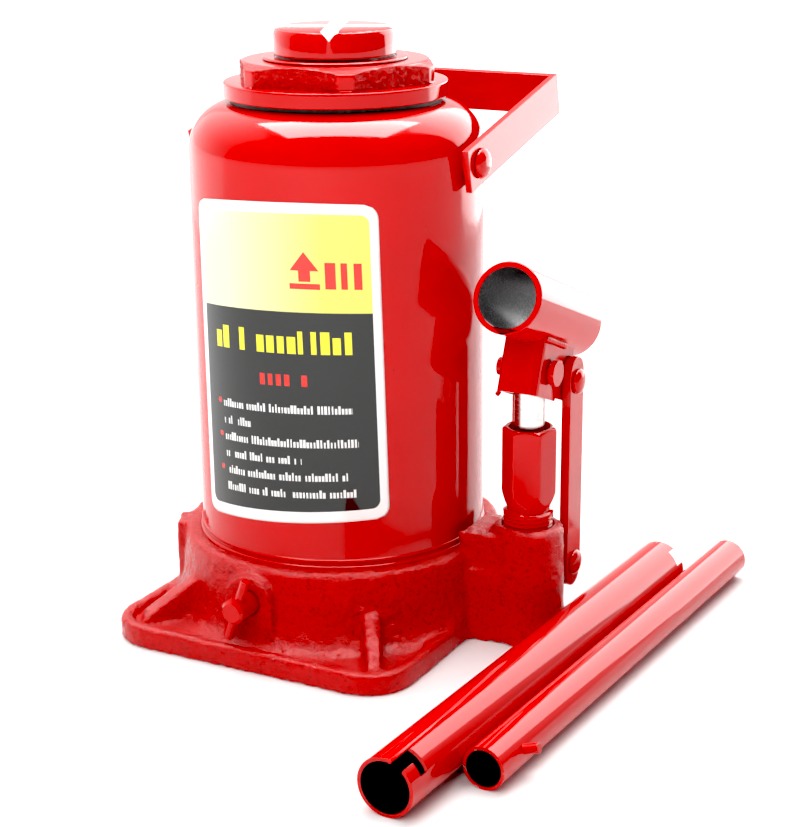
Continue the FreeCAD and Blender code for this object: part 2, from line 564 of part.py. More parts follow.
# ---- release valve ------------------------------------------------------------------
def make_release_valve():
    stem = turned([(0, -VALVE_END), (3.9, -VALVE_END), (VALVE_SHANK_R, -VALVE_END - 1.2),
                   (VALVE_SHANK_R, 58), (VALVE_SHANK_R - 1.3, 58), (VALVE_SHANK_R - 1.3, 55),
                   (VALVE_SHANK_R, 55), (VALVE_SHANK_R, 50), (2.6, 47.4), (0, 47.4)])
    stem.rotate(Vector(0, 0, 0), Vector(1, 0, 0), 90)
    stem.translate(Vector(VALVE_X, 0, VALVE_Z))
    tee_y = VALVE_END + 4.3
    lean = math.radians(TEE_LEAN)
    reach = Vector(math.sin(lean), 0, math.cos(lean)) * (TEE_LENGTH / 2)
    middle = Vector(VALVE_X, tee_y, VALVE_Z)
    tee = Part.makeCylinder(TEE_R, TEE_LENGTH, middle - reach, reach)
    put_out("release_valve_screw", stem.cut(Part.makeCylinder(TEE_R + 0.01, TEE_LENGTH,
                                                              middle - reach, reach)))
    put_out("release_tee_pin", tee)
    ring = Part.makeTorus(VALVE_SHANK_R - 0.62, 0.6, Vector(VALVE_X, -56.5, VALVE_Z), Vector(0, 1, 0))
    put_out("release_o_ring", ring)
    put_out("release_ball", ball(3.1, (VALVE_X, -44.1, VALVE_Z)))


# ---- carry handle -------------------------------------------------------------------
def carry_handle():
    outer = BAIL_INSIDE + BAIL_SHEET
    half = BAIL_WIDTH / 2
    strap = box(-outer, outer, -BAIL_TAIL, BAIL_REACH, -half, half)
    strap = strap.cut(box(-BAIL_INSIDE, BAIL_INSIDE, -BAIL_TAIL - 1, BAIL_REACH - BAIL_SHEET,
                          -half - 1, half + 1))
    strap = strap.cut(rod(3.55, (-80, 0, 0), (80, 0, 0)))
    strap.rotate(Vector(0, 0, 0), Vector(1, 0, 0), BAIL_TILT)
    strap.translate(Vector(0, 0, BAIL_Z))
    return strap


def handle_stud(side):
    """Shouldered rivet welded to the tank; the carry handle turns on its neck."""
    neck = rod(3.5, (side * (TANK_R - 0.1), 0, BAIL_Z), (side * (BAIL_INSIDE + BAIL_SHEET + 0.6), 0, BAIL_Z))
    collar = rod(6.5, (side * (TANK_R - 0.9), 0, BAIL_Z), (side * (BAIL_INSIDE - 0.25), 0, BAIL_Z))
    collar = collar.cut(rod(TANK_R + 0.01, (0, 0, BAIL_Z - 20), (0, 0, BAIL_Z + 20)))
    neck = neck.cut(rod(TANK_R + 0.01, (0, 0, BAIL_Z - 20), (0, 0, BAIL_Z + 20)))
    dome = turned([(0, 0), (6.0, 0), (5.9, 1.0), (4.8, 2.1), (2.8, 2.8), (0, 3.0)])
    dome.rotate(Vector(0, 0, 0), Vector(0, 1, 0), 90 * side)
    dome.translate(Vector(side * (BAIL_INSIDE + BAIL_SHEET + 0.3), 0, BAIL_Z))
    return fused(neck, collar, dome)


def make_carry_handle():
    put_out("carry_handle", carry_handle())
    put_out("carry_handle_studs", handle_stud(-1), handle_stud(1))


# ---- two-piece pump handle ----------------------------------------------------------
def lay_down(shape, start, radius):
    """Lay a tube modelled along +Y on the floor, at its start point and heading."""
    shape.rotate(Vector(0, 0, 0), Z_AXIS, -TUBE_HEADING)
    shape.translate(Vector(start[0], start[1], radius))
    return shape


def around(shape, degrees):
    """Turn a cutter about a tube's axis; 0 points right, 90 points up."""
    shape.rotate(Vector(0, 0, 0), Vector(0, 1, 0), -degrees)
    return shape


def large_tube():
    pipe = rod(LARGE_R, (0, 0, 0), (0, LARGE_LENGTH, 0)).cut(
        rod(LARGE_BORE, (0, -1, 0), (0, LARGE_LENGTH + 1, 0)))
    slot_half = 2.4
    entry = around(box(4, 20, -1, 11, -slot_half, slot_half), 62)
    pipe = pipe.cut(entry)
    for degrees in (52, 42, 34):
        pipe = pipe.cut(around(box(4, 20, 11 - 2 * slot_half, 11, -slot_half, slot_half), degrees))
    for degrees in (38, 218):
        notch = around(box(4, 20, LARGE_LENGTH - 5.2, LARGE_LENGTH + 1, -3.4, 3.4), degrees)
        pipe = pipe.cut(notch)
    return lay_down(pipe, LARGE_START, LARGE_R)


def make_handle_tubes():
    put_out("handle_tube_large", large_tube())
    pipe = rod(SMALL_R, (0, 0, 0), (0, SMALL_LENGTH, 0)).cut(
        rod(SMALL_BORE, (0, -1, 0), (0, SMALL_LENGTH + 1, 0)))
    hole = around(rod(PEG_R, (0, PEG_FROM_END, 0), (20, PEG_FROM_END, 0)), PEG_ANGLE)
    put_out("handle_tube_small", lay_down(pipe.cut(hole), SMALL_START, SMALL_R))
    peg = around(rod(PEG_R - 0.01, (SMALL_BORE + 0.05, PEG_FROM_END, 0), (14.0, PEG_FROM_END, 0)),
                 PEG_ANGLE)
    put_out("handle_tube_peg", lay_down(peg, SMALL_START, SMALL_R))


os.makedirs("parts", exist_ok=True)
make_shell()
make_ram_column()
make_pump()
make_lever()
make_release_valve()
make_carry_handle()
make_handle_tubes()
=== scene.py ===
import json
import math

import bmesh
import bpy
import numpy as np
from bpy.props import FloatProperty, FloatVectorProperty, PointerProperty
from bpy.types import Operator, Panel, PropertyGroup
from mathutils import Matrix, Vector

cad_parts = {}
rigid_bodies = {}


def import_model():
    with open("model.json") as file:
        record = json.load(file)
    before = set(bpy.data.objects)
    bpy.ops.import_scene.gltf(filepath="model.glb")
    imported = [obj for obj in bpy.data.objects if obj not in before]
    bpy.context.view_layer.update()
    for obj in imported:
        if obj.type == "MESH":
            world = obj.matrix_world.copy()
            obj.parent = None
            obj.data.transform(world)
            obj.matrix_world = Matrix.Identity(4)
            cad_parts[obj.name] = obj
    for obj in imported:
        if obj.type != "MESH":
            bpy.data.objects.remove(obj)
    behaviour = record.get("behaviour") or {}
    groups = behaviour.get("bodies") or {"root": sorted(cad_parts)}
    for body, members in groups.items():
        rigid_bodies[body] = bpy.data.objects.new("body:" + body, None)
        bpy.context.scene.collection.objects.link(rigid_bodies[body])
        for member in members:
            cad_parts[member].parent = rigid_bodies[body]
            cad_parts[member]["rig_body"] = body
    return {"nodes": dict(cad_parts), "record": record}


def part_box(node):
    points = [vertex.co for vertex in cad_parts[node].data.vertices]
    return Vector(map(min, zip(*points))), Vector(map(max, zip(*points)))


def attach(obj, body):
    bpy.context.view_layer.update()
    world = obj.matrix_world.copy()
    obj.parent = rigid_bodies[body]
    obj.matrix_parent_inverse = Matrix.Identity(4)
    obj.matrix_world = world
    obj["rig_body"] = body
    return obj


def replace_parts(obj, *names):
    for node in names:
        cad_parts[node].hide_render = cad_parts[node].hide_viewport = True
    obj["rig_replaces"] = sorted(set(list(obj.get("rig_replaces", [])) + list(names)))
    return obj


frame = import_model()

bl_info = {
    "name": "Hydraulic bottle jack",
    "version": (1, 0, 0),
    "blender": (4, 5, 0),
    "location": "View3D > Sidebar > Bottle jack",
    "description": "Finishes and detailed pieces of a bottle jack, built round its CAD frame",
    "category": "Object",
}

MM = 0.001
TAU = 2 * math.pi
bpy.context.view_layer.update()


def box_mm(node):
    """A CAD node's lowest and highest corners, in millimetres."""
    low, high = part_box(node)
    return np.array(low) / MM, np.array(high) / MM


# ---- sizes read from the frame, in millimetres ----
TANK_LOW, TANK_HIGH = box_mm("reservoir_tank")
FILM_LOW, FILM_HIGH = box_mm("label_plate")
PUMP_LOW, PUMP_HIGH = box_mm("pump_cylinder")
PUMP_X = (PUMP_LOW[0] + PUMP_HIGH[0]) / 2
NUT_LOW, NUT_HIGH = box_mm("top_nut")
SCREW_LOW, SCREW_HIGH = box_mm("extension_screw")
SADDLE_LOW, SADDLE_HIGH = box_mm("saddle")
MOUNTS = {mount["name"]: mount for mount in frame["record"]["mounts"]}
SOCKET_TILT = 21.3           # degrees that the handle socket's tube leans from level
PIN_HIGH = 112.5


# ---- shader expressions ----
class Wire:
    """An output socket of a node tree. Python's operators on it add Math nodes."""

    def __init__(self, tree, socket=None):
        self.tree = tree
        self.socket = socket

    def node(self, kind, settings=None, sockets=None, out=0):
        """Adds a node: its settings first, then the values or links of its sockets."""
        made = self.tree.nodes.new(kind)
        for name, value in (settings or {}).items():
            if name == "stops":
                while len(made.color_ramp.elements) < len(value):
                    made.color_ramp.elements.new(1.0)
                for stop, (place, colour) in zip(made.color_ramp.elements, value):
                    stop.position = place
                    stop.color = colour
            else:
                setattr(made, name, value)
        for name, value in (sockets or {}).items():
            if isinstance(value, Wire):
                self.tree.links.new(value.socket, made.inputs[name])
            else:
                made.inputs[name].default_value = value
        outputs = made.outputs
        return Wire(self.tree, outputs[out] if len(outputs) else None)

    def maths(self, operation, *others):
        """A Math node on this socket and the others."""
        return self.node("ShaderNodeMath", {"operation": operation},
                         dict(enumerate((self, *others))))

    def __add__(self, other):
        return self.maths("ADD", other)

    def __sub__(self, other):
        return self.maths("SUBTRACT", other)

    def __rsub__(self, other):
        return self.node("ShaderNodeMath", {"operation": "SUBTRACT"}, {0: other, 1: self})

    def __mul__(self, other):
        return self.maths("MULTIPLY", other)

    def __truediv__(self, other):
        return self.maths("DIVIDE", other)

    def __abs__(self):
        return self.maths("ABSOLUTE")

    def __gt__(self, other):
        return self.maths("GREATER_THAN", other)

    def __lt__(self, other):
        return self.maths("LESS_THAN", other)

    __radd__ = __add__
    __rmul__ = __mul__

    def ramp(self, low, high, first=0.0, last=1.0):
        """first below low, last above high and straight between."""
        return self.node("ShaderNodeMapRange", {"clamp": True},
                         {"Value": self, "From Min": low, "From Max": high,
                          "To Min": first, "To Max": last})

    def parts(self):
        """The X, Y and Z of a vector."""
        made = self.node("ShaderNodeSeparateXYZ", {}, {"Vector": self}).socket.node
        return [Wire(self.tree, out) for out in made.outputs]

    def vector(self, operation, other=None, out=0):
        """A Vector Math node on this vector and, where there is one, the other."""
        sockets = {0: self} if other is None else {0: self, 1: other}
        return self.node("ShaderNodeVectorMath", {"operation": operation}, sockets, out)

    def noise(self, size, detail=2.0, rough=0.5):
        """Noise whose lumps are about size millimetres across."""
        return self.node("ShaderNodeTexNoise", {},
                         {"Vector": self, "Scale": 1.0 / (size * MM), "Detail": detail,
                          "Roughness": rough})

    def cells(self, size):
        """Distance to the nearest of points scattered about size millimetres apart."""
        return self.node("ShaderNodeTexVoronoi", {"feature": "F1"},
                         {"Vector": self, "Scale": 1.0 / (size * MM)})

    def mix(self, first, second):
        """A colour from first to second as this goes from 0 to 1."""
        return self.node("ShaderNodeMix", {"data_type": "RGBA"}, {0: self, 6: first, 7: second}, 2)

    def bump(self, height_mm, normal=None):
        """A normal tilted by this height, whose full swing is height_mm."""
        sockets = {"Height": self, "Distance": height_mm * MM, "Strength": 1.0}
        if normal is not None:
            sockets["Normal"] = normal
        return self.node("ShaderNodeBump", {}, sockets)


SOCKETS = {"colour": "Base Color", "roughness": "Roughness", "metallic": "Metallic",
           "normal": "Normal", "coat": "Coat Weight", "coat_roughness": "Coat Roughness",
           "specular": "Specular IOR Level", "glow": "Emission Color",
           "glow_strength": "Emission Strength"}


def new_finish(name):
    """An empty node material, with a Wire to build on and its Object coordinates."""
    material = bpy.data.materials.new(name)
    material.use_nodes = True
    material.node_tree.nodes.clear()
    start = Wire(material.node_tree)
    return material, start.node("ShaderNodeTexCoord", out=3)


def close_finish(wire, **sockets):
    """Principled shader, with its sockets in plain words, to the material's output."""
    shader = wire.node("ShaderNodeBsdfPrincipled", {},
                       {SOCKETS[key]: value for key, value in sockets.items()})
    wire.node("ShaderNodeOutputMaterial", {}, {"Surface": shader})


def rgb(colour):
    return (colour[0], colour[1], colour[2], 1.0)


def shade(colour, factor):
    return (colour[0] * factor, colour[1] * factor, colour[2] * factor, 1.0)


# ---- finishes ----
BARE_STEEL = (0.62, 0.61, 0.58, 1.0)
GROOVE_ANGLE = 24.2          # degrees, heading of one of the two grooves of the load head


def enamel_colour(place, red):
    """Red that drifts a little in shade, with rare dark specks of dust under it."""
    drift = place.noise(34.0, 3.0).ramp(0.3, 0.7)
    specks = place.cells(9.0).ramp(0.035, 0.05, 1.0, 0.0) * (place.noise(17.0) > 0.53)
    return (specks * 0.55).mix(drift.mix(shade(red, 0.92), rgb(red)), shade(red, 0.2))


def orange_peel(place):
    """Height of sprayed enamel's ripple: broad waves with finer ones on them."""
    return place.noise(2.4, 2.0) * 0.75 + place.noise(0.55, 1.0) * 0.25


def enamel():
    """Smooth sprayed enamel: faint orange peel under a clear glossy skin."""
    paint = bpy.context.scene.jack_paint
    material, place = new_finish("gloss enamel")
    close_finish(place, colour=enamel_colour(place, paint.red),
                 roughness=place.noise(11.0, 3.0).ramp(0.35, 0.7, paint.roughness,
                                                       paint.roughness + 0.07),
                 normal=orange_peel(place).bump(paint.peel / MM), coat=0.1, coat_roughness=0.04,
                 specular=0.32)
    return material


def cast_enamel():
    """Enamel over a sand casting: pits, grains and runs that the paint half fills, and painted
    shade that darkens the hollows of the grain.
    """
    paint = bpy.context.scene.jack_paint
    material, place = new_finish("cast enamel")
    grains = place.noise(1.7, 4.0, 0.75)
    pits = place.cells(2.8).ramp(0.05, 0.3, 0.0, 1.0)
    skin = grains * 0.7 + pits * 0.3 * (place.noise(9.0) > 0.5)
    waves = place.noise(4.0, 3.0, 0.6)
    fine = skin.bump(1.1)
    dark = place.cells(4.2).ramp(0.06, 0.11, 1.0, 0.0) * (place.noise(13.0) > 0.5)
    # painted shade: the hollows of the grain are darkened towards a deep red, standing in for the
    # shade in them
    hollow_shade = grains.ramp(0.34, 0.46, 0.6, 0.0)
    colour = (dark * 0.7).mix(enamel_colour(place, paint.red), shade(paint.red, 0.1))
    close_finish(place, colour=hollow_shade.mix(colour, shade(paint.red, 0.3)),
                 roughness=grains.ramp(0.3, 0.75, paint.roughness + 0.07, paint.roughness + 0.2),
                 normal=waves.bump(0.3, fine), coat=0.08, coat_roughness=0.1, specular=0.35)
    return material


def forged_enamel():
    """Enamel that is smooth on the turned faces of the nut and grainy on its torn flats, where
    painted shade darkens the hollows of the grain.
    """
    paint = bpy.context.scene.jack_paint
    material, place = new_finish("forged enamel")
    east, north, up = place.parts()
    reach = (east * east + north * north).maths("SQRT")
    inner, outer, low, high = 35.0, 40.7, NUT_HIGH[2] - 8.0, NUT_HIGH[2] - 0.5
    torn = ((up > low * MM) * (up < high * MM)
            * (reach < outer * MM) * (reach > inner * MM))
    grains = place.noise(1.0, 4.0, 0.7)
    # painted shade: on the torn flats the hollows of the grain are darkened towards a deep red
    colour = (grains.ramp(0.34, 0.46, 0.6, 0.0) * torn).mix(enamel_colour(place, paint.red),
                                                            shade(paint.red, 0.25))
    close_finish(place, colour=colour, roughness=torn * 0.2 + paint.roughness + 0.03,
                 normal=(grains * (torn * 0.98 + 0.02)).bump(0.9), coat=0.1, coat_roughness=0.05,
                 specular=0.32)
    return material


def bore_mask(place, mount, extra=0.25):
    """1 within a bore mount's radius of its axis: the length of (point - axis point) x axis."""
    across = place.vector("SUBTRACT", mount["pos_m"]).vector("CROSS_PRODUCT", mount["axis"])
    distance = across.vector("LENGTH", out=1)
    return distance < (mount["dims"]["r_mm"] + extra) * MM


def mouth_chips(place, mount, half_length, reach=1.1):
    """Flakes of missing paint along both end edges of a tube."""
    from_middle = place.vector("SUBTRACT", mount["pos_m"])
    along = abs(from_middle.vector("DOT_PRODUCT", mount["axis"], out=1))
    edge = along.ramp((half_length - reach) * MM, half_length * MM)
    return (place.noise(2.6, 3.0) * edge) > 0.62


def tube_enamel(name, mount, half_length, inside, speckle, chipping):
    """Enamel outside, chips at the end edges, and a bore with inside colour and a pale speckle of
    grit, which is strongest at the bottom of the bore as painted light.
    """
    paint = bpy.context.scene.jack_paint
    material, place = new_finish(name)
    bore = bore_mask(place, mount)
    chips = mouth_chips(place, mount, half_length) * chipping
    grit = place.noise(0.8, 3.0, 0.8).ramp(0.5, 0.56)
    # painted light: the pale grit speckle is weighted towards the bottom of the bore and thinned at
    # its top, for a lit lower inside and a shaded upper inside; the grit itself is also a real bump
    lit_bore_bottom = (place.vector("SUBTRACT", mount["pos_m"]).parts()[2]).ramp(-0.011, 0.006, 1.0, 0.25)
    lining = (grit * lit_bore_bottom * speckle).mix(inside, (0.5, 0.5, 0.52, 1.0))
    outside = chips.mix(enamel_colour(place, paint.red), BARE_STEEL)
    height = orange_peel(place) * (1 - bore) * 0.08 + grit * bore
    close_finish(place, colour=bore.mix(outside, lining),
                 roughness=bore * 0.3 + chips * 0.2 + paint.roughness,
                 metallic=chips,
                 normal=height.bump(0.12), coat=(1 - bore) * 0.1, coat_roughness=0.04,
                 specular=0.32)
    return material


def saddle_enamel():
    """Enamel worn through to bright steel along the two grooves of the load head."""
    paint = bpy.context.scene.jack_paint
    material, place = new_finish("saddle enamel")
    east, north, up = place.parts()
    turn = math.radians(GROOVE_ANGLE)
    first = abs(north * math.cos(turn) - east * math.sin(turn))
    second = abs(east * math.cos(turn) + north * math.sin(turn))
    near = first.maths("MINIMUM", second) + (SADDLE_HIGH[2] * MM - up) * 0.9
    bare = near < (3.5 + 2.4 * (place.noise(2.2, 4.0, 0.65) - 0.5)) * MM
    scratch = place.vector("MULTIPLY", (1.0, 1.0, 0.2)).noise(0.6, 3.0)
    close_finish(place, colour=bare.mix(enamel_colour(place, paint.red), BARE_STEEL),
                 roughness=bare * 0.22 + paint.roughness, metallic=bare,
                 normal=(scratch * (bare * 0.9 + 0.1)).bump(0.1),
                 coat=(1 - bare) * 0.1, coat_roughness=0.04)
    return material


def ground_steel(name="ground steel", tint=(0.5, 0.5, 0.49), stretch=(0.15, 0.15, 6.0),
                 roughness=0.2):
    """Bright steel with fine grinding lines round it: noise squeezed along the axis."""
    material, place = new_finish(name)
    lines = place.vector("MULTIPLY", stretch).noise(1.2, 4.0, 0.7)
    stain = place.noise(6.0, 3.0).ramp(0.35, 0.7)
    close_finish(place, colour=stain.mix(shade(tint, 0.78), rgb(tint)), metallic=1.0,
                 roughness=lines.ramp(0.3, 0.7, roughness - 0.06, roughness + 0.12),
                 normal=lines.bump(0.02))
    return material


def plain_metal(name, tint, roughness):
    """Plated or soft metal: cloudy colour, fine pitting."""
    material, place = new_finish(name)
    cloud = place.noise(4.0, 3.0).ramp(0.3, 0.7)
    close_finish(place, colour=cloud.mix(shade(tint, 0.7), rgb(tint)), metallic=1.0,
                 roughness=place.noise(1.5, 3.0).ramp(0.3, 0.7, roughness, roughness + 0.15),
                 normal=place.noise(0.8, 2.0).bump(0.03))
    return material


def rubber():
    """Matt black rubber, dusty in patches."""
    material, place = new_finish("black rubber")
    dust = place.noise(3.0, 4.0).ramp(0.45, 0.8)
    close_finish(place, colour=dust.mix((0.018, 0.018, 0.018, 1), (0.07, 0.066, 0.06, 1)),
                 roughness=dust.ramp(0.0, 1.0, 0.45, 0.7), normal=place.noise(0.7, 2.0).bump(0.05))
    return material


# ---- printed film ----
FILM_WIDTH = 83.6          # along the curve
FILM_HEIGHT = 126.0
FILM_BORDER = 3.6
TEXT_ROWS = ((46.6, 13.6, 70.7), (39.7, 13.8, 28.7), (33.0, 14.0, 72.5),
             (26.2, 14.0, 50.2), (19.4, 14.1, 67.8), (12.5, 14.2, 74.4))   # height, left, right
SIGN_MIDDLE = 54.6         # of the lifting sign, from the left edge
RATING = (61.9, 77.4, 94.6, 5.2, 10.2, 0.0)    # left, right, base, pitch, height, spread
CAUTION = (30.0, 54.6, 56.2, 3.5, 4.5, 0.0)
TITLE, TITLE_GAP = (10.8, 72.6, 69.0, 4.4, 8.9, 0.25), (52.8, 55.4)
BULLET_LEFT, BULLET_UP = 11.6, 0.9
FILM_LEAN = 0.018          # rise of a printed line for each millimetre along it


def between(value, low, high):
    """1 where the value lies between low and high."""
    return abs(value - (low + high) / 2) < (high - low) / 2


def rounded_mask(across, up, left, right, low, high, radius):
    """1 where the distance to the rectangle shrunk by radius is under radius."""
    beyond = []
    for value, near, far in ((across, left, right), (up, low, high)):
        outside = abs(value - (near + far) / 2) - ((far - near) / 2 - radius)
        beyond.append(outside.maths("MAXIMUM", 0.0))
    total = beyond[0] * beyond[0] + beyond[1] * beyond[1]
    return total < radius * radius


def row_of_bars(across, up, left, right, base, pitch, height, spread):
    """Plain bars from left to right: each cell of one pitch holds a bar of random height and
    width, and a random few are left blank as the gaps between words."""
    cell = (across - left) / pitch
    index = cell.maths("FLOOR")
    within = cell - index
    seat = index.node("ShaderNodeCombineXYZ", {}, {0: index, 1: base})
    chance = seat.node("ShaderNodeTexWhiteNoise", {"noise_dimensions": "2D"}, {"Vector": seat})
    tall = (chance * 7.0).maths("FRACT")
    top = height * (1.0 - spread) + height * spread * (tall > 0.6)
    wide = (chance * 13.0).maths("FRACT").ramp(0.0, 1.0, 0.22, 0.42)
    return ((abs(within - 0.5) < wide) * (up > base) * (up < top + base) * (chance > 0.12)
            * between(across, left, right))


def film_print():
    """Generic two-panel print: yellow over black, the yellow paled towards the left edge as a
    painted highlight, a white border, a lifting sign, and rows of marks that stand for words."""
    film = bpy.context.scene.jack_film
    material, place = new_finish("printed film")
    east, north, up = place.node("ShaderNodeTexCoord", out=2).parts()
    x = east * FILM_WIDTH
    y = north * FILM_HEIGHT + x * FILM_LEAN
    inner = rounded_mask(x, north * FILM_HEIGHT, FILM_BORDER, FILM_WIDTH - FILM_BORDER,
                         FILM_BORDER + 1.0, FILM_HEIGHT - FILM_BORDER - 0.4, 3.4)
    lower = y < film.split / MM
    # painted highlight: the yellow panel is paled towards its left edge, standing in for a sheen of
    # light on the film
    highlight_fade = x.ramp(20.0, 62.0)
    yellow = highlight_fade.mix(rgb((0.93, 0.92, 0.55)), rgb(film.yellow))
    colour = lower.mix(yellow, rgb(film.black))

    arrow_x = abs(x - SIGN_MIDDLE)
    head = (arrow_x < (108.6 - y) * 0.78) * (y > 101.4)
    stem = (arrow_x < 2.3) * (abs(y - 99.4) < 2.2)
    foot = (arrow_x < 5.9) * (abs(y - 95.4) < 1.1)
    red_marks = head
    for mark in (stem, foot, row_of_bars(x, y, *RATING), row_of_bars(x, y, *CAUTION)):
        red_marks = red_marks.maths("MAXIMUM", mark)
    for height, _, _ in TEXT_ROWS[::2]:
        beside, above = x - BULLET_LEFT, y - height - BULLET_UP
        red_marks = red_marks.maths("MAXIMUM", beside * beside + above * above < 1.25)

    title = row_of_bars(x, y, *TITLE) * (1 - between(x, *TITLE_GAP))
    words = None
    for height, left, right in TEXT_ROWS:
        row = row_of_bars(x, y, left, right, height - 1.3, 1.32, 3.3, 0.3)
        words = row if words is None else words + row

    colour = title.mix(colour, rgb((0.93, 0.86, 0.03)))
    colour = words.mix(colour, rgb((0.86, 0.86, 0.85)))
    colour = red_marks.mix(colour, rgb((0.80, 0.02, 0.01)))
    colour = inner.mix(rgb((0.93, 0.93, 0.92)), colour)
    scuffs = place.noise(7.0, 5.0, 0.7).ramp(0.35, 0.75, 0.05, 0.14)
    wrinkle = place.vector("MULTIPLY", (1.0, 1.0, 0.5)).noise(14.0, 2.0)
    close_finish(place, colour=colour, roughness=scuffs, normal=wrinkle.bump(0.05), coat=0.4,
                 coat_roughness=0.03)
    return material


# ---- mesh tools ----
RANDOM = np.random.default_rng(11).uniform(-1.0, 1.0, 4096)


def lumps(points, size, seed):
    """Smooth noise from -1 to 1: random values on a lattice size millimetres apart, blended
    in each cell by the quintic fade 6t^5 - 15t^4 + 10t^3."""
    scaled = points / size
    cell = np.floor(scaled).astype(np.int64)
    fade = scaled - cell
    fade = fade ** 3 * (fade * (fade * 6 - 15) + 10)
    total = np.zeros(len(points))
    for corner in np.ndindex(2, 2, 2):
        corner = np.array(corner)
        at = (cell + corner) * (73856093, 19349663, 83492791)
        picked = RANDOM[(at[:, 0] ^ at[:, 1] ^ at[:, 2] ^ (seed * 7919)) & 4095]
        total += np.where(corner, fade, 1 - fade).prod(axis=1) * picked
    return total


def put_mesh(name, mesh, material, body, nodes):
    """Shows a finished mesh as one piece that rides on a body and stands for CAD nodes."""
    piece = bpy.data.objects.new(name, mesh)
    bpy.context.scene.collection.objects.link(piece)
    mesh.materials.clear()
    mesh.materials.append(material)
    if nodes:
        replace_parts(piece, *nodes)
    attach(piece, body)
    return piece


def sheet_mesh(name, points, close_rows, close_columns, uv=None, sharp=40.0):
    """Mesh from a grid of points (rows, columns, 3) in millimetres. A closed direction joins
    its last line to its first."""
    rows, columns = points.shape[:2]
    row = np.arange(rows if close_rows else rows - 1)
    column = np.arange(columns if close_columns else columns - 1)
    row, column = np.meshgrid(row, column, indexing="ij")
    lit_bore_bottom, beside = (row + 1) % rows, (column + 1) % columns
    faces = np.stack([row * columns + column, row * columns + beside,
                      lit_bore_bottom * columns + beside, lit_bore_bottom * columns + column], axis=-1).reshape(-1, 4)
    mesh = bpy.data.meshes.new(name)
    mesh.from_pydata((points.reshape(-1, 3) * MM).tolist(), [], faces.tolist())
    if uv is not None:
        layer = mesh.uv_layers.new(name="film")
        layer.data.foreach_set("uv", uv.reshape(-1, 2)[faces.ravel()].ravel())
    mesh.shade_smooth()
    mesh.set_sharp_from_angle(angle=math.radians(sharp))
    mesh.update()
    return mesh


def rounded_profile(corners, radius, steps=3):
    """The outline through (radius, height) corners, with every corner cut back by the given
    distance (or a third of its shorter side) and bridged by a quadratic curve."""
    corners = np.array(corners, float)
    sides = [np.roll(corners, turn, axis=0) - corners for turn in (1, -1)]
    lengths = [np.linalg.norm(side, axis=1)[:, None] for side in sides]
    cut = np.minimum(radius, np.minimum(*lengths) / 3)
    start, end = (corners + side / length * cut for side, length in zip(sides, lengths))
    t = np.linspace(0, 1, steps + 1)[None, :, None]
    curve = (start[:, None] * (1 - t) ** 2 + 2 * corners[:, None] * t * (1 - t)
             + end[:, None] * t ** 2)
    return curve.reshape(-1, 2)


def densify(profile, step):
    """Adds evenly spaced points so that no stretch of a closed outline is longer than step."""
    after = np.roll(profile, -1, axis=0)
    counts = np.maximum(1, np.ceil(np.linalg.norm(after - profile, axis=1) / step)).astype(int)
    index = np.repeat(np.arange(len(profile)), counts)
    part = (np.arange(len(index)) - np.repeat(np.cumsum(counts) - counts, counts)) / counts[index]
    return profile[index] + (after - profile)[index] * part[:, None]


def revolve(profile, columns, centre=(0.0, 0.0), radius_rule=None):
    """Grid of a profile turned about a vertical: x = r cos(angle), y = r sin(angle), z = height.
    radius_rule(angle, height, r) may bend the radius, as for a hexagon or a thread."""
    angle = (np.arange(columns) * TAU / columns)[None, :]
    radius = np.repeat(profile[:, :1], columns, axis=1)
    height = np.repeat(profile[:, 1:], columns, axis=1)
    if radius_rule is not None:
        radius = radius_rule(angle, height, radius)
    east, north = centre[0] + radius * np.cos(angle), centre[1] + radius * np.sin(angle)
    return np.stack([east, north, height], axis=-1)


def hexagon_radius(angle, apothem, corner, softness):
    """Radius of a hexagon whose corner lies at the angle corner: a smooth minimum, with the
    given softness, of apothem / cos over its six sides."""
    total = 0.0
    for side in range(6):
        cosine = np.cos(angle - corner - TAU / 12 - side * TAU / 6)
        reach = apothem / np.maximum(cosine, 0.2)
        total = total + np.exp(-reach / softness)
    return -softness * np.log(total)


def merged_copy(node):
    """A CAD node's mesh with its loose triangles joined."""
    mesh = frame["nodes"][node].data.copy()
    work = bmesh.new()
    work.from_mesh(mesh)
    bmesh.ops.remove_doubles(work, verts=work.verts, dist=0.002 * MM)
    bmesh.ops.dissolve_limit(work, angle_limit=math.radians(0.5), verts=work.verts,
                             edges=work.edges)
    work.to_mesh(mesh)
    work.free()
    if mesh.has_custom_normals:
        mesh.attributes.remove(mesh.attributes["custom_normal"])
    return mesh


def soften(node, material, body, width=0.35):
    """A CAD node with its edges worn round: a bevel of width millimetres."""
    mesh = merged_copy(node)
    mesh.shade_smooth()
    mesh.set_sharp_from_angle(angle=math.radians(32))
    piece = put_mesh(node + ".finished", mesh, material, body, [node])
    bevel = piece.modifiers.new("worn edges", "BEVEL")
    bevel.width = width * MM
    bevel.segments = 2
    bevel.limit_method = "ANGLE"
    bevel.angle_limit = math.radians(32)
    bevel.use_clamp_overlap = True
    bevel.harden_normals = True


# ---- pieces ----
def average_neighbours(points, edges, rounds):
    """Moves every vertex halfway to the mean of its neighbours, rounds times."""
    count = np.bincount(edges.ravel(), minlength=len(points))[:, None]
    for _ in range(rounds):
        total = np.zeros_like(points)
        for axis in range(3):
            total[:, axis] = (np.bincount(edges[:, 0], points[edges[:, 1], axis], len(points))
                              + np.bincount(edges[:, 1], points[edges[:, 0], axis], len(points)))
        points = points + 0.5 * (total / count - points)
    return points


